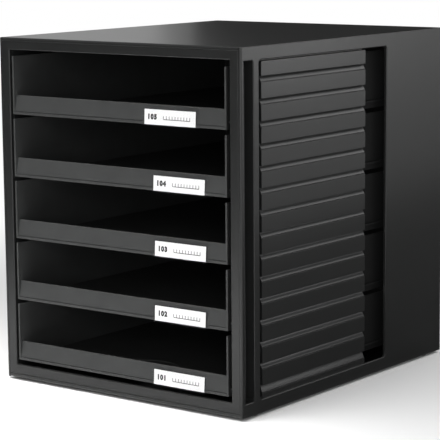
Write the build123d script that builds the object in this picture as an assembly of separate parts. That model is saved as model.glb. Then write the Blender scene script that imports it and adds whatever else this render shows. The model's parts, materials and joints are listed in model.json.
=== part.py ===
from build123d import *
import math
import os

# Desktop drawer unit: a panelled case on four round feet, with five open trays on side rails.
# All sizes are millimetres. X runs left to right seen from the front, Y runs from front to back, Z is up.
# The origin is the centre of the whole unit's base, on the surface that the feet stand on.

# Overall size
unit_width = 275.0
unit_depth = 330.0
unit_height = 320.0

# Case panels
side_thickness = 3.0
top_thickness = 3.0
base_thickness = 4.0
back_thickness = 3.0
flange_height = 6.0
flange_thickness = 2.0
side_front_radius = 1.7
side_back_radius = 2.0
long_edge_radius = 0.9
plate_front_radius = 2.4
back_rib_height = 2.0
back_rib_width = 1.6
back_rib_count = 4
top_rib_count = 3

# Front frame
frame_depth = 5.0
post_width = 9.0
top_rail_height = 8.0
bottom_rail_height = 9.3
opening_edge_radius = 1.0
frame_seam_chamfer = 0.4

# Side cut-outs, measured back from the case's front plane
slot_setback = 4.2
slot_width = 13.6
slot_corner = 2.5
channel_depth = 10.6
channel_wall = 1.4
channel_floor_radius = 1.8
web_width = 7.9
window_width = 200.8
window_corner = 3.0
cut_edge_radius = 1.0
window_below_opening_top = 1.2
window_below_opening_bottom = 1.0

# Ribbed runner panels
runner_sheet = 1.8
runner_visible_length = 162.0
runner_front_lap = 6.2
runner_edge_lap = 2.2
rails_per_drawer = 3
rail_height = 5.3
seam_width = 7.3
seam_depth = 3.8
top_seam_height = 1.5
strip_undercut = 2.8
strip_foot_depth = 0.3
strip_hollow = 0.35
strip_line_height = 0.7
strip_line_depth = 1.0
lowest_strip_height = 7.1

# Drawers
drawer_count = 5
drawer_pitch = 57.5
drawer_height = 53.0
drawer_wall = 1.9
drawer_floor = 2.2
drawer_side_gap = 3.2
drawer_bottom_gap = 4.7
drawer_back_gap = 3.5
drawer_corner = 0.7
slide_flange_thickness = 1.8
slide_flange_rise = 5.4
slide_flange_setback = 3.0
slide_flange_clearance = 0.5
rail_clearance = 0.25
rail_wall_clearance = 0.65
drawer_travel = 235.0
stop_lug_length = 8.0
stop_lug_height = 8.0
stop_lug_overlap = 2.5
stop_lug_clearance = 0.5

# Drawer lip
lip_height = 17.3
lip_thickness = 2.2
lip_lean = 3.2
lip_strip_height = 2.4
lip_strip_setback = 0.3
lip_groove_height = 0.6
lip_groove_depth = 0.7
lip_top_radius = 0.8
gusset_width = 6.0
gusset_proud = 0.8
gusset_tip = 0.3
gusset_sink = 0.02

# Thumb dish in the tray floor
dish_radius = 38.0
dish_depth = 0.9
dish_centre_setback = 27.0
dish_edge = 0.6

# Label holders and cards
label_width = 56.0
label_height = 13.2
label_thickness = 0.25
label_play = 0.12
holder_wall = 0.8
holder_lean = 0.8
holder_end_rib = 1.4
holder_top_margin = 1.0
holder_slide_gap = 0.25
holder_hook_thickness = 1.0
holder_hook_rise = 0.7
track_width = 1.7
track_depth = 1.0
track_setback = 3.2
track_play = 0.3
label_end_margin = 8.3
label_insets = (54.1, 52.1, 51.1, 51.8, 60.8)

# Feet
foot_radius = 9.0
foot_stand = 2.2
foot_pocket_depth = 0.8
foot_pocket_play = 0.2
foot_side_margin = 0.4
foot_setback = 24.0
foot_edge = 0.5

tiny = 1e-3

# Places worked out from the sizes above
half_width = unit_width / 2
holder_top = label_height + holder_top_margin
holder_foot = -holder_slide_gap - holder_hook_thickness
holder_slope = holder_lean / (holder_top - holder_foot)
holder_strip_lean = holder_slope * (lip_strip_height - holder_foot)
holder_proud = holder_wall + label_thickness + 2 * label_play + holder_strip_lean
front_y = -unit_depth / 2 + holder_proud
back_y = unit_depth / 2
base_z = foot_stand
floor_z = base_z + base_thickness
roof_z = unit_height - top_thickness
side_inner_x = half_width - side_thickness
opening_half = side_inner_x - post_width
opening_low_z = floor_z + bottom_rail_height
opening_high_z = roof_z - top_rail_height
frame_back_y = front_y + frame_depth
slot_front_y = front_y + slot_setback
slot_back_y = slot_front_y + slot_width
channel_floor_x = half_width - channel_depth
window_front_y = slot_back_y + web_width
window_back_y = window_front_y + window_width
window_low_z = opening_low_z - window_below_opening_bottom
window_high_z = opening_high_z - window_below_opening_top
runner_front_y = window_front_y - runner_front_lap
band_front_y = window_front_y + seam_width
runner_back_y = band_front_y + runner_visible_length
drawer_half = opening_half - drawer_side_gap
label_travel_half = drawer_half - label_end_margin
drawer_back_y = back_y - back_thickness - drawer_back_gap
first_drawer_z = opening_low_z + drawer_bottom_gap
rail_pitch = drawer_pitch / rails_per_drawer
rail_count = drawer_count * rails_per_drawer
first_rail_top = first_drawer_z + slide_flange_rise - rail_clearance
rail_inner_x = drawer_half + rail_wall_clearance
slide_flange_x = opening_half - slide_flange_clearance
stop_lug_x = opening_half + stop_lug_overlap
stop_lug_y = slot_back_y + channel_wall + drawer_travel + stop_lug_clearance


def block(x_range, y_range, z_range):
    """A box between two limits on each axis."""
    size = [high - low for low, high in (x_range, y_range, z_range)]
    middle = [(high + low) / 2 for low, high in (x_range, y_range, z_range)]
    return Pos(*middle) * Box(*size)


def edges_at(solid, axis, **place):
    """The straight edges along an axis whose middle lies at the given coordinates."""
    chosen = solid.edges().filter_by(axis)
    for name, value in place.items():
        chosen = chosen.filter_by(lambda edge: abs(getattr(edge.center(), name) - value) < tiny)
    return chosen


def mirrored(solid):
    """The same piece for the left side."""
    return mirror(solid, about=Plane.YZ)


def one_solid(shape):
    """A fused shape as its single solid."""
    return shape.clean().solids()[0]


def bar(section, low_x, high_x):
    """A section drawn with Y across and Z up, run along X between two limits."""
    return Pos(low_x, 0, 0) * extrude(Plane.YZ * section, high_x - low_x, dir=(1, 0, 0))


def window_cut():
    """The cutter for the large window, with rounded corners."""
    across = (side_inner_x - side_thickness, half_width + side_thickness)
    hole = block(across, (window_front_y, window_back_y), (window_low_z, window_high_z))
    return fillet(hole.edges().filter_by(Axis.X), window_corner)


def channel_cut():
    """The cutter for the blind channel behind the front slot, with its rear corners and floor rounded."""
    across = (channel_floor_x, half_width + side_thickness)
    hole = block(across, (slot_front_y, slot_back_y), (window_low_z, window_high_z))
    hole = fillet(edges_at(hole, Axis.X, Y=slot_back_y), slot_corner)
    floor_edges = hole.edges().filter_by(lambda edge: abs(edge.center().X - channel_floor_x) < tiny)
    rear_edges = floor_edges.filter_by(lambda edge: edge.center().Y > slot_front_y + tiny)
    return fillet(rear_edges, channel_floor_radius)


def channel_liner():
    """The walls round the channel, open in front where the front frame closes it."""
    across = (channel_floor_x - channel_wall, side_inner_x)
    along = (frame_back_y, slot_back_y + channel_wall)
    return block(across, along, (window_low_z - channel_wall, window_high_z + channel_wall))


def side_panel():
    """The right side wall with the blind channel behind its narrow front slot and its large runner window."""
    panel = block((side_inner_x, half_width), (front_y, back_y), (base_z, unit_height))
    panel = fillet(edges_at(panel, Axis.Z, X=half_width, Y=front_y), side_front_radius)
    panel = fillet(edges_at(panel, Axis.Z, X=half_width, Y=back_y), side_back_radius)
    long_edges = edges_at(panel, Axis.Y, X=half_width)
    panel = fillet(long_edges, long_edge_radius)
    panel = panel + channel_liner()
    panel = one_solid(panel - channel_cut() - window_cut())
    outside = panel.faces().filter_by(Axis.X).sort_by(Axis.X)[-1]
    rims = [edge for wire in outside.inner_wires() for edge in wire.edges()]
    return one_solid(fillet(rims, cut_edge_radius))


def cross_ribs(count, low_y, high_y, z_range):
    """Stiffening ribs across the case, spaced evenly from front to back."""
    reach = side_inner_x - flange_thickness
    step = (high_y - low_y) / (count + 1)
    ribs = []
    for index in range(count):
        middle = low_y + step * (index + 1)
        along = (middle - back_rib_width / 2, middle + back_rib_width / 2)
        ribs.append(block((-reach, reach), along, z_range))
    return ribs


def top_panel():
    """The roof plate with side flanges and cross ribs underneath."""
    rear = back_y - back_thickness
    plate = block((-side_inner_x, side_inner_x), (front_y, back_y), (roof_z, unit_height))
    plate = fillet(edges_at(plate, Axis.X, Y=front_y, Z=unit_height), plate_front_radius)
    low = roof_z - flange_height
    flange = block((side_inner_x - flange_thickness, side_inner_x), (frame_back_y, rear), (low, roof_z))
    plate = plate + flange + mirrored(flange)
    for rib in cross_ribs(top_rib_count, frame_back_y, rear, (roof_z - back_rib_height, roof_z)):
        plate = plate + rib
    return one_solid(plate)


def foot_centres():
    """The name and centre of each foot."""
    x = side_inner_x - foot_side_margin - foot_pocket_play - foot_radius
    front = front_y + foot_setback
    rear = back_y - foot_setback
    return {
        "foot_front_left": (-x, front),
        "foot_front_right": (x, front),
        "foot_rear_left": (-x, rear),
        "foot_rear_right": (x, rear),
    }


def base_panel():
    """The floor plate with side flanges above and a shallow pocket for each foot below."""
    rear = back_y - back_thickness
    plate = block((-side_inner_x, side_inner_x), (front_y, back_y), (base_z, floor_z))
    plate = fillet(edges_at(plate, Axis.X, Y=front_y, Z=base_z), plate_front_radius)
    high = floor_z + flange_height
    flange = block((side_inner_x - flange_thickness, side_inner_x), (frame_back_y, rear), (floor_z, high))
    plate = plate + flange + mirrored(flange)
    for x, y in foot_centres().values():
        pocket = Cylinder(foot_radius + foot_pocket_play, foot_pocket_depth * 2)
        plate = plate - Pos(x, y, base_z) * pocket
    return one_solid(plate)


def foot(x, y):
    """A round rubber pad that sits in its pocket and stands proud of the case."""
    height = foot_stand + foot_pocket_depth
    pad = Cylinder(foot_radius, height, align=(Align.CENTER, Align.CENTER, Align.MIN))
    pad = chamfer(pad.edges().filter_by(lambda edge: edge.center().Z < tiny), foot_edge)
    return Pos(x, y, 0) * pad


def back_panel():
    """The rear wall between the side panels, with level stiffening ribs inside."""
    inner = back_y - back_thickness
    panel = block((-side_inner_x, side_inner_x), (inner, back_y), (floor_z, roof_z))
    reach = side_inner_x - flange_thickness - back_rib_height
    step = (roof_z - floor_z) / (back_rib_count + 1)
    for index in range(back_rib_count):
        middle = floor_z + step * (index + 1)
        level = (middle - back_rib_width / 2, middle + back_rib_width / 2)
        panel = panel + block((-reach, reach), (inner - back_rib_height, inner), level)
    return one_solid(panel)


def front_frame():
    """The ring of two posts and two rails round the drawers."""
    frame = block((-side_inner_x, side_inner_x), (front_y, frame_back_y), (floor_z, roof_z))
    hole_y = (front_y - frame_depth, frame_back_y + frame_depth)
    frame = frame - block((-opening_half, opening_half), hole_y, (opening_low_z, opening_high_z))
    face_edges = frame.edges().filter_by(lambda edge: abs(edge.center().Y - front_y) < tiny)
    inner = face_edges.filter_by(lambda edge: abs(edge.center().X) < opening_half + tiny)
    inner = inner.filter_by(lambda edge: opening_low_z - tiny < edge.center().Z < opening_high_z + tiny)
    frame = fillet(inner, opening_edge_radius)
    outer = frame.edges().filter_by(lambda edge: abs(edge.center().Y - front_y) < tiny)
    rails = outer.filter_by(Axis.X).filter_by(
        lambda edge: abs(edge.center().Z - floor_z) < tiny or abs(edge.center().Z - roof_z) < tiny
    )
    posts = outer.filter_by(Axis.Z).filter_by(lambda edge: abs(abs(edge.center().X) - side_inner_x) < tiny)
    return one_solid(chamfer(rails + posts, frame_seam_chamfer))


def rail_tops():
    """The height of each rail's upper face, from the lowest up."""
    return [first_rail_top + rail_pitch * index for index in range(rail_count)]


def strip_cut(height):
    """The cutter for one hollow sloping strip with a fine line at its foot, its top at the origin."""
    foot = strip_line_height - height
    run = strip_undercut - strip_foot_depth
    slope = math.hypot(run, foot)
    middle = (
        -strip_undercut + run / 2 + foot * strip_hollow / slope,
        foot / 2 - run * strip_hollow / slope,
    )
    hollow = ThreePointArc((-strip_undercut, 0), middle, (-strip_foot_depth, foot))
    rest = Polyline(
        (-strip_foot_depth, foot),
        (-strip_line_depth, foot),
        (-strip_line_depth, -height),
        (tiny, -height),
        (tiny, 0),
        (-strip_undercut, 0),
    )
    section = make_face([hollow, rest])
    return extrude(Plane.XZ * section, runner_visible_length + seam_width, dir=(0, 1, 0))


def runner_panel():
    """The right ribbed insert: each rail inside shows outside as a sloping strip between flat bands."""
    span = (runner_front_y, runner_back_y)
    low = window_low_z - runner_edge_lap
    high = window_high_z + runner_edge_lap
    outer = side_inner_x
    seam_floor_x = outer - seam_depth
    seam_low_z = window_high_z - top_seam_height
    backed = (seam_floor_x - runner_sheet, outer)
    panel = block((outer - runner_sheet, outer), span, (low, high))
    for top in rail_tops():
        panel = panel + block((rail_inner_x, outer), span, (top - rail_height, top))
    panel = panel + block(backed, (runner_front_y, band_front_y + runner_sheet), (low, high))
    panel = panel + block(backed, span, (seam_low_z - runner_sheet, high))
    cuts = (seam_floor_x, outer + tiny)
    panel = panel - block(cuts, (runner_front_y - tiny, band_front_y), (window_low_z, window_high_z))
    panel = panel - block(cuts, (band_front_y - tiny, runner_back_y + tiny), (seam_low_z, window_high_z))
    for index, top in enumerate(rail_tops()):
        height = rail_height if index else lowest_strip_height
        panel = panel - Pos(outer, band_front_y - tiny, top) * strip_cut(height)
    return one_solid(panel)


def lip_profile():
    """The drawer front's section, in the YZ plane, with the drawer's lower front corner at the origin."""
    slope_z = lip_strip_height + lip_groove_height
    sketch = Polygon(
        (0, 0),
        (0, lip_strip_height),
        (lip_strip_setback + lip_groove_depth, lip_strip_height),
        (lip_strip_setback + lip_groove_depth, slope_z),
        (lip_strip_setback, slope_z),
        (lip_lean, lip_height),
        (lip_lean + lip_thickness, lip_height),
        (lip_strip_setback + lip_groove_depth + lip_thickness, 0),
        align=None,
    )
    tops = sketch.vertices().filter_by(lambda point: abs(point.Y - lip_height) < tiny)
    return fillet(tops, lip_top_radius)


def lip_gusset(inner_half):
    """The tapered corner facet at the right end of the lip, wide at its foot and closed at its top."""
    foot_z = lip_strip_height + lip_groove_height
    rise = lip_height - lip_top_radius * 2 - foot_z
    lean = lip_lean - lip_strip_setback
    wedge = Wedge(gusset_width, rise, gusset_proud, gusset_width - gusset_tip, gusset_proud - gusset_sink,
                  gusset_width, gusset_proud, align=(Align.MAX, Align.MIN, Align.MAX))
    angle = -degrees_of(lean, lip_height - foot_z)
    return Pos(inner_half, lip_strip_setback + gusset_sink, foot_z) * Rot(angle, 0, 0) * Rot(90, 0, 0) * wedge


def degrees_of(run, rise):
    """The lean, in degrees from upright, of a face that runs back over a rise."""
    return Vector(0, 0, 1).get_angle(Vector(0, run, rise))


def drawer_tray():
    """One open tray with its low leaning lip, with its lower front edge's middle at the origin."""
    length = drawer_back_y - front_y
    inner = drawer_half - drawer_wall
    floor = block((-drawer_half, drawer_half), (0, length), (0, drawer_floor))
    wall = block((inner, drawer_half), (0, length), (0, drawer_height))
    back = block((-drawer_half, drawer_half), (length - drawer_wall, length), (0, drawer_height))
    tray = floor + wall + mirrored(wall) + back
    tray = tray + bar(lip_profile(), -drawer_half, drawer_half)
    tray = fillet(edges_at(tray, Axis.Z, Y=length), drawer_corner)
    gusset = lip_gusset(inner)
    tray = tray + gusset + mirrored(gusset)
    sunk = (Align.CENTER, Align.CENTER, Align.MAX)
    dish = Cone(dish_radius - dish_edge, dish_radius, dish_depth, align=sunk)
    dish = Pos(0, dish_centre_setback, drawer_floor) * dish
    lip_keep = block((-drawer_half, drawer_half), (0, lip_lean + lip_thickness), (0, lip_height))
    tray = tray - (dish - lip_keep)
    track_half = label_travel_half + track_play
    track_y = (track_setback, track_setback + track_width)
    track = block((-track_half, track_half), track_y, (-tiny, track_depth))
    tray = tray - track
    low = slide_flange_rise
    flange = block((drawer_half - tiny, slide_flange_x), (slide_flange_setback, length),
                   (low, low + slide_flange_thickness))
    lug_y = stop_lug_y - front_y
    lug_z = (low, low + stop_lug_height)
    lug = block((drawer_half - tiny, stop_lug_x), (lug_y, lug_y + stop_lug_length), lug_z)
    lug = fillet(edges_at(lug, Axis.Z, X=stop_lug_x, Y=lug_y + stop_lug_length), drawer_corner)
    side = flange + lug
    return one_solid(tray + side + mirrored(side))


def holder_profile():
    """The label holder's plate and hook in section, Y across, from the drawer's lower front corner."""
    ledge = -holder_slide_gap
    hook_y = track_setback + track_play
    hook_back = track_setback + track_width - track_play
    front = -holder_proud
    return Polygon(
        (front, holder_foot),
        (front + holder_lean, holder_top),
        (front + holder_lean + holder_wall, holder_top),
        (front + holder_wall + holder_slope * holder_hook_thickness, ledge),
        (hook_y, ledge),
        (hook_y, holder_hook_rise),
        (hook_back, holder_hook_rise),
        (hook_back, holder_foot),
        align=None,
    )


def label_holder():
    """The clear holder: a plate in front of the card, end ribs towards the lip and a hook in the track."""
    half = label_width / 2 + label_play + holder_end_rib
    shell = bar(holder_profile(), -half, half)
    rib_low = lip_strip_height + lip_groove_height
    lip_slope = (lip_lean - lip_strip_setback) / (lip_height - rib_low)
    face_top = lip_strip_setback + lip_slope * (holder_top - rib_low)
    rib = Polygon(
        (-holder_proud + holder_wall / 2, -holder_slide_gap),
        (-holder_proud + holder_lean + holder_wall / 2, holder_top),
        (face_top - holder_slide_gap, holder_top),
        (lip_strip_setback - holder_slide_gap, rib_low),
        (-holder_slide_gap, lip_strip_height),
        (-holder_slide_gap, -holder_slide_gap),
        align=None,
    )
    end = bar(rib, half - holder_end_rib, half)
    shell = shell + end + mirrored(end)
    return one_solid(shell)


def label_card():
    """The paper card that stands in the holder, just behind its plate."""
    start = -holder_proud + holder_wall + label_play - holder_slope * holder_foot
    rise = holder_slope * label_height
    section = Polygon(
        (start, 0),
        (start + rise, label_height),
        (start + rise + label_thickness, label_height),
        (start + label_thickness, 0),
        align=None,
    )
    return bar(section, -label_width / 2, label_width / 2)


def all_pieces():
    """Every piece of the unit, by node name, where it stands with the drawers closed."""
    side = side_panel()
    runner = runner_panel()
    pieces = {
        "front_frame": front_frame(),
        "top_panel": top_panel(),
        "base_panel": base_panel(),
        "back_panel": back_panel(),
        "right_side_panel": side,
        "left_side_panel": mirrored(side),
        "right_runner_panel": runner,
        "left_runner_panel": mirrored(runner),
    }
    for name, (x, y) in foot_centres().items():
        pieces[name] = foot(x, y)
    tray = drawer_tray()
    holder = label_holder()
    card = label_card()
    for index in range(drawer_count):
        place = Pos(0, front_y, first_drawer_z + drawer_pitch * index)
        shift = Pos(drawer_half - label_insets[index % len(label_insets)], 0, 0)
        pieces[f"drawer_{index + 1}_tray"] = place * tray
        pieces[f"drawer_{index + 1}_label_holder"] = place * shift * holder
        pieces[f"drawer_{index + 1}_label_card"] = place * shift * card
    return pieces


os.makedirs("parts", exist_ok=True)
for node, piece in all_pieces().items():
    export_step(piece, f"parts/{node}.step")
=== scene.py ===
import math
import bmesh
import bpy
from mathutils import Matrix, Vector
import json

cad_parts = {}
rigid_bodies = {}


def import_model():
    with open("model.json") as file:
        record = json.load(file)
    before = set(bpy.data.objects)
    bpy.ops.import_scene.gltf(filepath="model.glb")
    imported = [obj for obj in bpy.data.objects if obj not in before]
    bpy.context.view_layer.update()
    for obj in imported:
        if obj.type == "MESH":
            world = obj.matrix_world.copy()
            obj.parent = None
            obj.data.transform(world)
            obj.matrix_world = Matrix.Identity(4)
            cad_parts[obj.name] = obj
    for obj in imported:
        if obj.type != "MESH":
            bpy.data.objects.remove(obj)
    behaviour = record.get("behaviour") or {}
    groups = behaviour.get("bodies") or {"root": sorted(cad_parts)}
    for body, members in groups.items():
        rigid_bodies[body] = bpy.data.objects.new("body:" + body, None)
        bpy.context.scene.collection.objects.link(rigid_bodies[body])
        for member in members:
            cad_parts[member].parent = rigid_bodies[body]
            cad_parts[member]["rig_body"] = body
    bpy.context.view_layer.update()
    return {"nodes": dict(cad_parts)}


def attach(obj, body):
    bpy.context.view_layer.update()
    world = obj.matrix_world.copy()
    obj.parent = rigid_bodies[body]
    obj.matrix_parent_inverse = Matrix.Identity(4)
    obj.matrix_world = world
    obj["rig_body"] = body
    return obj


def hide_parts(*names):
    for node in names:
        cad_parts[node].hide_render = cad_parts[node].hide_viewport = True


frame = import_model()

# Sizes are metres, and X runs across the unit from left to right
MM = 0.001
ACROSS = Vector((1, 0, 0))
DRAWER_COUNT = 5

# How the pieces' faces are cleaned and their edges rounded
MERGE_GAP = 0.001 * MM
FLAT_ANGLE = math.radians(0.4)
SHARP_ANGLE = math.radians(28)
CASE_EDGE = 0.30 * MM
TRAY_EDGE = 0.35 * MM
HOLDER_EDGE = 0.15 * MM
FOOT_EDGE = 0.30 * MM
EDGE_STEPS = 2
FLAT_FACE_WEIGHT = 100

# Print on the label cards: a plain number, and a comb of ticks on a ruled line to letter between
FIRST_NUMBER = 100
NUMBER_HEIGHT = 4.1 * MM
NUMBER_SPACING = 1.25
NUMBER_FROM_LEFT = 3.4 * MM
NUMBER_STROKE_GAIN = 0.11
NUMBER_CURVE_STEPS = 6
FIGURE_SHARE_OF_TYPE = 0.7
COMB_FROM_LEFT = 21.0 * MM
COMB_TO_RIGHT = 6.0 * MM
COMB_BELOW_MIDDLE = 1.7 * MM
COMB_PITCH = 3.2 * MM
COMB_TICK = 2.7 * MM
COMB_LINE = 0.58 * MM
INK_PROUD = 0.02 * MM

# Moulded plastic: its faint tint and gloss, its mottling, its glossier spots and its grain
PLASTIC_TINT = (0.98, 1.01, 1.00)
PLASTIC_IOR = 1.44
MOTTLE_SCALE = 60.0
MOTTLE_DETAIL = 4.0
GLOSS_SPOT_SCALE = 900.0
GLOSS_SPOT_DETAIL = 3.0
GLOSS_VARIATION = 0.05
GRAIN_DETAIL = 2.0

# The trays' outer sides past this half width are duller and carry painted shade, a darker colour for the
# shade inside the unit; the other pieces nowhere
TRAY_SIDE = 122.1 * MM
SIDE_PAINTED_SHADE = 0.25
SIDE_DULLNESS = 0.25
PAST_ALL_PIECES = 1.0

# Clear holders, card and ink
CLEAR_SHADE = (0.20, 0.21, 0.22, 1)
CLEAR_ROUGHNESS = 0.08
CLEAR_IOR = 1.50
CLEAR_COVER = 0.03
PAPER_SHADES = (0.74, 0.82)
PAPER_ROUGHNESS = 0.85
FIBRE_SCALE = 2500.0
FIBRE_DETAIL = 3.0
INK_SHADES = (0.003, 0.008)
INK_ROUGHNESS = 0.6
INK_SPOT_SCALE = 3000.0
INK_SPOT_DETAIL = 2.0

# Camera, from the photograph's perspective
CAMERA_PLACE = (1.0770, -1.4282, 0.4247)
CAMERA_TURN = (81.003, 0.470, 37.196)
CAMERA_LENS = 155.35
CAMERA_SENSOR = 36.0

# Studio floor: from the near distance to the far one its shadow fades and it turns plain white
FLOOR_RADIUS = 14.0
FLOOR_SIDES = 96
FLOOR_NEAR = 0.45
FLOOR_FAR = 1.1
FLOOR_SHADE = 0.86

# Roughness of the floor and the flags
MATT = 0.9


def linked(name, mesh):
    """A new object that holds a mesh, in the scene."""
    made = bpy.data.objects.new(name, mesh)
    bpy.context.scene.collection.objects.link(made)
    return made


def mesh_of(piece):
    """The piece's mesh as it looks with its modifiers."""
    depsgraph = bpy.context.evaluated_depsgraph_get()
    return bpy.data.meshes.new_from_object(piece.evaluated_get(depsgraph))


def moulded_copy(node, name, edge_radius, material):
    """A CAD piece's mesh, merged into clean faces, with its sharp edges rounded as moulded plastic is."""
    source = frame["nodes"][node]
    form = bmesh.new()
    form.from_mesh(source.data)
    bmesh.ops.remove_doubles(form, verts=form.verts, dist=MERGE_GAP)
    bmesh.ops.dissolve_limit(form, angle_limit=FLAT_ANGLE, verts=form.verts, edges=form.edges)
    mesh = bpy.data.meshes.new(name)
    form.to_mesh(mesh)
    form.free()
    mesh.materials.append(material)
    mesh.shade_smooth()
    piece = linked(name, mesh)
    rounding = piece.modifiers.new("rounding", "BEVEL")
    rounding.limit_method = "ANGLE"
    rounding.angle_limit = SHARP_ANGLE
    rounding.width = edge_radius
    rounding.segments = EDGE_STEPS
    rounding.use_clamp_overlap = True
    flats = piece.modifiers.new("flats", "WEIGHTED_NORMAL")
    flats.mode = "FACE_AREA"
    flats.weight = FLAT_FACE_WEIGHT
    flats.keep_sharp = True
    rounded = mesh_of(piece)
    piece.modifiers.clear()
    piece.data = rounded
    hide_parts(node)
    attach(piece, source["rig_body"])
    return piece


# Node helpers
def put(tree, value, socket):
    """Feeds an input from another node's output, or sets it to a plain value."""
    if isinstance(value, bpy.types.NodeSocket):
        tree.links.new(value, socket)
    else:
        socket.default_value = value


def worked_out(tree, operation, *terms):
    """A number worked out from outputs and plain numbers."""
    step = tree.nodes.new("ShaderNodeMath")
    step.operation = operation
    for term, socket in zip(terms, step.inputs):
        put(tree, term, socket)
    return step.outputs["Value"]


def scaled(tree, colour, factor):
    """A colour times a factor."""
    product = tree.nodes.new("ShaderNodeVectorMath")
    product.operation = "SCALE"
    put(tree, colour, product.inputs[0])
    put(tree, factor, product.inputs["Scale"])
    return product.outputs["Vector"]


def between(tree, share, low, high):
    """The number that lies at a share of the way from low to high."""
    stretch = tree.nodes.new("ShaderNodeMapRange")
    put(tree, share, stretch.inputs["Value"])
    put(tree, low, stretch.inputs["To Min"])
    put(tree, high, stretch.inputs["To Max"])
    return stretch.outputs["Result"]


def eased(tree, value, start, end, low, high):
    """A number that goes smoothly from low to high while the value goes from start to end."""
    slope = tree.nodes.new("ShaderNodeMapRange")
    slope.interpolation_type = "SMOOTHSTEP"
    put(tree, value, slope.inputs["Value"])
    put(tree, start, slope.inputs["From Min"])
    put(tree, end, slope.inputs["From Max"])
    put(tree, low, slope.inputs["To Min"])
    put(tree, high, slope.inputs["To Max"])
    return slope.outputs["Result"]


def noise(tree, scale, detail):
    """Noise that is fixed to the piece, as a share from 0 to 1."""
    place = tree.nodes.new("ShaderNodeTexCoord")
    pattern = tree.nodes.new("ShaderNodeTexNoise")
    put(tree, place.outputs["Object"], pattern.inputs["Vector"])
    put(tree, scale, pattern.inputs["Scale"])
    put(tree, detail, pattern.inputs["Detail"])
    return pattern.outputs["Fac"]


def mixed(tree, share, first, second):
    """Two shaders, mixed by the second one's share."""
    mix = tree.nodes.new("ShaderNodeMixShader")
    put(tree, share, mix.inputs["Fac"])
    put(tree, first, mix.inputs[1])
    put(tree, second, mix.inputs[2])
    return mix.outputs["Shader"]


# Materials
def new_material(name):
    """A material, its node tree and its surface shader."""
    material = bpy.data.materials.new(name)
    material.use_nodes = True
    tree = material.node_tree
    return material, tree, tree.nodes["Principled BSDF"]


def past_half_width(tree, half_width):
    """1 further from the unit's middle plane than the half width, and 0 nearer."""
    place = tree.nodes.new("ShaderNodeTexCoord")
    axes = tree.nodes.new("ShaderNodeSeparateXYZ")
    put(tree, place.outputs["Object"], axes.inputs["Vector"])
    across = worked_out(tree, "ABSOLUTE", axes.outputs["X"])
    return worked_out(tree, "GREATER_THAN", across, half_width)


def moulded_plastic(name, base, mottle, roughness, grain_size, grain_height, painted_shade_and_dull_from=PAST_ALL_PIECES):
    """Satin moulded plastic with a spark-eroded grain, duller past a half width and darkened there with
    painted shade.
    """
    material, tree, shader = new_material(name)
    shader.inputs["IOR"].default_value = PLASTIC_IOR
    outside = past_half_width(tree, painted_shade_and_dull_from)
    mottling = noise(tree, MOTTLE_SCALE, MOTTLE_DETAIL)
    shade = between(tree, mottling, base * (1 - mottle), base * (1 + mottle))
    colour = scaled(tree, PLASTIC_TINT, shade)
    # Painted shade: past the half width the colour is darkened
    painted_shade_colour = scaled(tree, colour, between(tree, outside, 1.0, SIDE_PAINTED_SHADE))
    put(tree, painted_shade_colour, shader.inputs["Base Color"])
    spots = noise(tree, GLOSS_SPOT_SCALE, GLOSS_SPOT_DETAIL)
    gloss = between(tree, spots, roughness - GLOSS_VARIATION, roughness + GLOSS_VARIATION)
    put(tree, worked_out(tree, "MULTIPLY_ADD", outside, SIDE_DULLNESS, gloss), shader.inputs["Roughness"])
    grain = tree.nodes.new("ShaderNodeBump")
    grain.inputs["Strength"].default_value = 1.0
    grain.inputs["Distance"].default_value = grain_height
    put(tree, noise(tree, 1.0 / grain_size, GRAIN_DETAIL), grain.inputs["Height"])
    put(tree, grain.outputs["Normal"], shader.inputs["Normal"])
    return material


def clear_plastic():
    """The clear label holders: almost nothing but their shine."""
    material, _, shader = new_material("clear_plastic")
    shader.inputs["Base Color"].default_value = CLEAR_SHADE
    shader.inputs["Roughness"].default_value = CLEAR_ROUGHNESS
    shader.inputs["IOR"].default_value = CLEAR_IOR
    shader.inputs["Alpha"].default_value = CLEAR_COVER
    return material


def card_paper():
    """White card with a faint fibre."""
    material, tree, shader = new_material("card_paper")
    shader.inputs["Roughness"].default_value = PAPER_ROUGHNESS
    fibre = noise(tree, FIBRE_SCALE, FIBRE_DETAIL)
    put(tree, between(tree, fibre, *PAPER_SHADES), shader.inputs["Base Color"])
    return material


def printed_ink():
    """Black printing ink, a little uneven."""
    material, tree, shader = new_material("printed_ink")
    shader.inputs["Roughness"].default_value = INK_ROUGHNESS
    spots = noise(tree, INK_SPOT_SCALE, INK_SPOT_DETAIL)
    put(tree, between(tree, spots, *INK_SHADES), shader.inputs["Base Color"])
    return material


# Case
def build_case():
    """The case's panels, frame and runner inserts."""
    plastic = moulded_plastic(
        "case_plastic", base=0.014, mottle=0.12, roughness=0.31,
        grain_size=0.35 * MM, grain_height=0.010 * MM,
    )
    panels = [
        "front_frame", "top_panel", "base_panel", "back_panel",
        "right_side_panel", "left_side_panel", "right_runner_panel", "left_runner_panel",
    ]
    for node in panels:
        moulded_copy(node, node + "_moulded", CASE_EDGE, plastic)


def build_feet():
    """The four round rubber pads."""
    rubber = moulded_plastic(
        "foot_rubber", base=0.020, mottle=0.2, roughness=0.75,
        grain_size=0.5 * MM, grain_height=0.03 * MM,
    )
    for corner in ("front_left", "front_right", "rear_left", "rear_right"):
        node = "foot_" + corner
        moulded_copy(node, node + "_pad", FOOT_EDGE, rubber)


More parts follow.
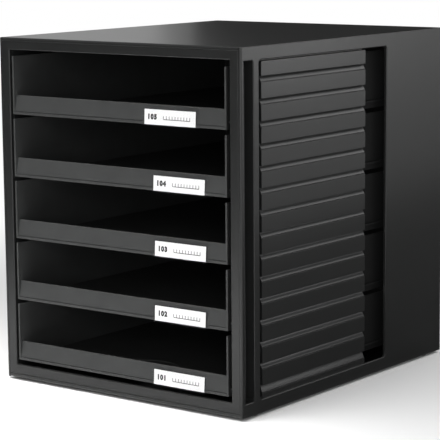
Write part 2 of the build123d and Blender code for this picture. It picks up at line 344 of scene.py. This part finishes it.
# Print on the label cards
def card_front(node):
    """A card's front face: its middle, half its width, and its upward direction."""
    points = [v.co for v in frame["nodes"][node].data.vertices]
    low_x = min(p.x for p in points)
    high_x = max(p.x for p in points)
    low_z = min(p.z for p in points)
    high_z = max(p.z for p in points)
    foot = min((p for p in points if p.z - low_z < MERGE_GAP), key=lambda p: p.y)
    head = min((p for p in points if high_z - p.z < MERGE_GAP), key=lambda p: p.y)
    middle = Vector(((low_x + high_x) / 2, (foot.y + head.y) / 2, (low_z + high_z) / 2))
    up = Vector((0, head.y - foot.y, high_z - low_z))
    return middle, (high_x - low_x) / 2, up.normalized()


def flat_bar(tree, width, height, right, up):
    """A flat bar of a width and height, with its middle moved right and up."""
    bar = tree.nodes.new("GeometryNodeMeshGrid")
    put(tree, 2, bar.inputs["Vertices X"])
    put(tree, 2, bar.inputs["Vertices Y"])
    put(tree, width, bar.inputs["Size X"])
    put(tree, height, bar.inputs["Size Y"])
    middle = tree.nodes.new("ShaderNodeCombineXYZ")
    put(tree, right, middle.inputs["X"])
    put(tree, up, middle.inputs["Y"])
    moved = tree.nodes.new("GeometryNodeTransform")
    put(tree, bar.outputs["Mesh"], moved.inputs["Geometry"])
    put(tree, middle.outputs["Vector"], moved.inputs["Translation"])
    return moved.outputs["Geometry"]


def letter_comb_tree(ink):
    """Geometry Nodes for a letter comb: a ruled line with a tick between every two letters."""
    tree = bpy.data.node_groups.new("letter_comb", "GeometryNodeTree")
    tree.interface.new_socket("Comb", in_out="OUTPUT", socket_type="NodeSocketGeometry")
    for size in ("Length", "Pitch", "Tick", "Line"):
        tree.interface.new_socket(size, in_out="INPUT", socket_type="NodeSocketFloat")
    sizes = tree.nodes.new("NodeGroupInput").outputs
    half_length = worked_out(tree, "MULTIPLY", sizes["Length"], 0.5)
    rule = flat_bar(tree, sizes["Length"], sizes["Line"], half_length, 0.0)
    tick_and_line = worked_out(tree, "ADD", sizes["Tick"], sizes["Line"])
    over_rule = worked_out(tree, "MULTIPLY", tick_and_line, 0.5)
    tick = flat_bar(tree, sizes["Line"], sizes["Tick"], 0.0, over_rule)
    step = tree.nodes.new("ShaderNodeCombineXYZ")
    put(tree, sizes["Pitch"], step.inputs["X"])
    steps = worked_out(tree, "DIVIDE", sizes["Length"], sizes["Pitch"])
    row = tree.nodes.new("GeometryNodeMeshLine")
    row.mode = "OFFSET"
    put(tree, worked_out(tree, "ADD", steps, 1.0), row.inputs["Count"])
    put(tree, step.outputs["Vector"], row.inputs["Offset"])
    ticks = tree.nodes.new("GeometryNodeInstanceOnPoints")
    put(tree, row.outputs["Mesh"], ticks.inputs["Points"])
    put(tree, tick, ticks.inputs["Instance"])
    joined = tree.nodes.new("GeometryNodeJoinGeometry")
    put(tree, rule, joined.inputs["Geometry"])
    put(tree, ticks.outputs["Instances"], joined.inputs["Geometry"])
    real = tree.nodes.new("GeometryNodeRealizeInstances")
    put(tree, joined.outputs["Geometry"], real.inputs["Geometry"])
    inked = tree.nodes.new("GeometryNodeSetMaterial")
    put(tree, real.outputs["Geometry"], inked.inputs["Geometry"])
    put(tree, ink, inked.inputs["Material"])
    put(tree, inked.outputs["Geometry"], tree.nodes.new("NodeGroupOutput").inputs["Comb"])
    return tree


def comb_mesh(tree, length):
    """The comb of one label as plain mesh, from its left end on."""
    carrier = linked("letter_comb", bpy.data.meshes.new("letter_comb"))
    comb = carrier.modifiers.new("comb", "NODES")
    comb.node_group = tree
    inputs = {item.name: item.identifier for item in tree.interface.items_tree if item.in_out == "INPUT"}
    comb[inputs["Length"]] = length
    comb[inputs["Pitch"]] = COMB_PITCH
    comb[inputs["Tick"]] = COMB_TICK
    comb[inputs["Line"]] = COMB_LINE
    mesh = mesh_of(carrier)
    bpy.data.objects.remove(carrier)
    return mesh


def number_mesh(number):
    """A label's number as flat mesh, from its left end on and centred in height."""
    text = bpy.data.curves.new(f"number_{number}", "FONT")
    text.body = str(FIRST_NUMBER + number)
    text.size = NUMBER_HEIGHT / FIGURE_SHARE_OF_TYPE
    text.offset = NUMBER_HEIGHT * NUMBER_STROKE_GAIN
    text.space_character = NUMBER_SPACING
    text.align_x = "LEFT"
    text.align_y = "CENTER"
    text.resolution_u = NUMBER_CURVE_STEPS
    carrier = linked(f"number_{number}", text)
    mesh = mesh_of(carrier)
    bpy.data.objects.remove(carrier)
    return mesh


def shift(mesh, right, up):
    """Moves a flat mesh right and up in its own plane."""
    for v in mesh.vertices:
        v.co.x += right
        v.co.y += up


def face_up(form):
    """Turns the flat faces so that they all face up."""
    bmesh.ops.recalc_face_normals(form, faces=form.faces)
    for face in form.faces:
        if face.normal.z < 0:
            face.normal_flip()


def lay_on_card(mesh, middle, up):
    """Lays a flat mesh on a card's front face, with the mesh's origin at the face's middle."""
    out = ACROSS.cross(up)
    for v in mesh.vertices:
        right, above, proud = v.co
        v.co = middle + ACROSS * right + up * above + out * (proud + INK_PROUD)


def card_print(number, node, comb_tree, ink):
    """The printed number and letter comb on one card, as one thin piece."""
    middle, half, up = card_front(node)
    mesh = number_mesh(number)
    shift(mesh, NUMBER_FROM_LEFT - half, 0)
    comb = comb_mesh(comb_tree, 2 * half - COMB_FROM_LEFT - COMB_TO_RIGHT)
    shift(comb, COMB_FROM_LEFT - half, -COMB_BELOW_MIDDLE)
    form = bmesh.new()
    form.from_mesh(mesh)
    form.from_mesh(comb)
    face_up(form)
    form.to_mesh(mesh)
    form.free()
    lay_on_card(mesh, middle, up)
    mesh.materials.clear()
    mesh.materials.append(ink)
    piece = linked(f"drawer_{number}_card_print", mesh)
    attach(piece, f"label_{number}")
    return piece


# Drawers
def build_drawers():
    """The trays, and each one's clear label holder, card and print."""
    # The trays' outer sides get painted shade past TRAY_SIDE, for the shade inside the unit
    plastic = moulded_plastic(
        "tray_plastic", base=0.034, mottle=0.20, roughness=0.60,
        grain_size=0.60 * MM, grain_height=0.030 * MM, painted_shade_and_dull_from=TRAY_SIDE,
    )
    clear = clear_plastic()
    paper = card_paper()
    ink = printed_ink()
    comb_tree = letter_comb_tree(ink)
    for number in range(1, DRAWER_COUNT + 1):
        tray = f"drawer_{number}_tray"
        moulded_copy(tray, tray + "_moulded", TRAY_EDGE, plastic)
        holder = f"drawer_{number}_label_holder"
        moulded_copy(holder, holder + "_clear", HOLDER_EDGE, clear)
        card = f"drawer_{number}_label_card"
        card_materials = frame["nodes"][card].data.materials
        card_materials.clear()
        card_materials.append(paper)
        card_print(number, card, comb_tree, ink)


# Studio
def floor_material():
    """A pale floor that keeps the soft shadow near the unit and is plain white further out."""
    material, tree, shader = new_material("pale_floor")
    shader.inputs["Base Color"].default_value = (FLOOR_SHADE, FLOOR_SHADE, FLOOR_SHADE, 1)
    shader.inputs["Roughness"].default_value = MATT
    shader.inputs["Specular IOR Level"].default_value = 0.0
    white = tree.nodes.new("ShaderNodeEmission")
    place = tree.nodes.new("ShaderNodeTexCoord")
    distance = tree.nodes.new("ShaderNodeVectorMath")
    distance.operation = "LENGTH"
    put(tree, place.outputs["Object"], distance.inputs[0])
    far = eased(tree, distance.outputs["Value"], FLOOR_NEAR, FLOOR_FAR, 0.0, 1.0)
    path = tree.nodes.new("ShaderNodeLightPath")
    seen = worked_out(tree, "MAXIMUM", path.outputs["Is Camera Ray"], path.outputs["Is Glossy Ray"])
    seen = worked_out(tree, "MAXIMUM", seen, path.outputs["Is Transmission Ray"])
    share = worked_out(tree, "MULTIPLY", seen, far)
    surface = mixed(tree, share, shader.outputs["BSDF"], white.outputs["Emission"])
    put(tree, surface, tree.nodes["Material Output"].inputs["Surface"])
    return material


def build_floor():
    """A wide round floor at the height of the feet."""
    mesh = bpy.data.meshes.new("studio_floor")
    form = bmesh.new()
    bmesh.ops.create_circle(form, cap_ends=True, segments=FLOOR_SIDES, radius=FLOOR_RADIUS)
    form.to_mesh(mesh)
    form.free()
    mesh.materials.append(floor_material())
    linked("studio_floor", mesh)


def build_world(white_below, grey_above, grey, ambient):
    """White round the horizon, greyer overhead, with an even light for diffuse surfaces."""
    world = bpy.data.worlds.new("studio")
    bpy.context.scene.world = world
    world.use_nodes = True
    tree = world.node_tree
    place = tree.nodes.new("ShaderNodeTexCoord")
    axes = tree.nodes.new("ShaderNodeSeparateXYZ")
    put(tree, place.outputs["Generated"], axes.inputs["Vector"])
    shown = tree.nodes["Background"]
    put(tree, eased(tree, axes.outputs["Z"], white_below, grey_above, 1.0, grey), shown.inputs["Color"])
    even = tree.nodes.new("ShaderNodeBackground")
    even.inputs["Color"].default_value = (ambient, ambient, ambient, 1)
    path = tree.nodes.new("ShaderNodeLightPath")
    diffuse = path.outputs["Is Diffuse Ray"]
    light = mixed(tree, diffuse, shown.outputs["Background"], even.outputs["Background"])
    put(tree, light, tree.nodes["World Output"].inputs["Surface"])


def softbox(name, place, aim, size, power, spread=180):
    """A soft lamp, hidden from the camera, that faces the aim point. The spread is its beam in degrees."""
    light = bpy.data.lights.new(name, "AREA")
    light.shape = "RECTANGLE"
    light.size = size[0]
    light.size_y = size[1]
    light.energy = power
    light.spread = math.radians(spread)
    lamp = linked(name, light)
    lamp.location = place
    lamp.rotation_euler = (Vector(aim) - Vector(place)).to_track_quat("-Z", "Y").to_euler()
    lamp.visible_camera = False


def flag(name, corners, shade):
    """A dark sheet beside the set, seen only in reflections, that keeps the satin faces dark."""
    mesh = bpy.data.meshes.new(name)
    mesh.from_pydata(corners, [], [(0, 1, 2, 3)])
    material, _, shader = new_material(name + "_card")
    shader.inputs["Base Color"].default_value = (shade, shade, shade, 1)
    shader.inputs["Roughness"].default_value = MATT
    mesh.materials.append(material)
    sheet = linked(name, mesh)
    sheet.visible_camera = False
    sheet.visible_diffuse = False
    sheet.visible_shadow = False


def upright(start, end, height):
    """The corners of an upright sheet that stands on the floor between two points."""
    return [(*start, 0), (*end, 0), (*end, height), (*start, height)]


def build_studio():
    """The floor, the surroundings, the flags and the lamps."""
    build_floor()
    build_world(white_below=0.070, grey_above=0.105, grey=0.16, ambient=0.58)
    # The right flag lies on the floor beside the unit and is seen only in reflections: a painted reflection
    # of the floor's shadow there
    shadowed_floor_sheet = [(0.139, -0.20, 0.001), (0.139, 1.10, 0.001), (0.45, 1.10, 0.112), (0.45, -0.20, 0.070)]
    flag("front_flag", upright((-0.80, 0.10), (-0.05, -1.50), height=0.36), shade=0.03)
    flag("right_flag", shadowed_floor_sheet, shade=0.10)
    flag("far_flag", upright((1.75, 1.05), (0.75, 1.85), height=0.16), shade=0.20)
    flag("back_flag", upright((-1.10, 1.36), (-0.10, 2.00), height=1.8), shade=0.03)
    softbox("overhead", place=(0.2, 0.1, 2.2), aim=(0, 0, 0), size=(3.0, 3.0), power=14)
    softbox(
        "front_floor", place=(-0.10, -0.50, 1.0), aim=(-0.10, -0.50, 0),
        size=(0.5, 0.3), power=3.0, spread=66,
    )
    softbox("camera_fill", place=(1.3, -1.9, 0.6), aim=(0, 0, 0.16), size=(0.8, 0.8), power=11)
    softbox("left_back_near", place=(-1.34, 0.83, 0.65), aim=(0, 0, 0.32), size=(1.0, 0.6), power=0.95)
    softbox("right_back", place=(0.50, 1.26, 1.02), aim=(0.13, 0, 0.2), size=(0.6, 0.5), power=2.2)
    softbox("side_streak", place=(0.84, 0.80, 0.32), aim=(0.1375, -0.12, 0.30), size=(0.2, 0.22), power=0.65)


def build_camera():
    """The camera at the photograph's viewing angle."""
    lens = bpy.data.cameras.new("photo_camera")
    lens.sensor_width = CAMERA_SENSOR
    lens.lens = CAMERA_LENS
    camera = linked("photo_camera", lens)
    camera.location = CAMERA_PLACE
    camera.rotation_euler = [math.radians(angle) for angle in CAMERA_TURN]
    bpy.context.scene.camera = camera
    bpy.context.scene.view_settings.view_transform = "Standard"


build_case()
build_feet()
build_drawers()
build_studio()
build_camera()
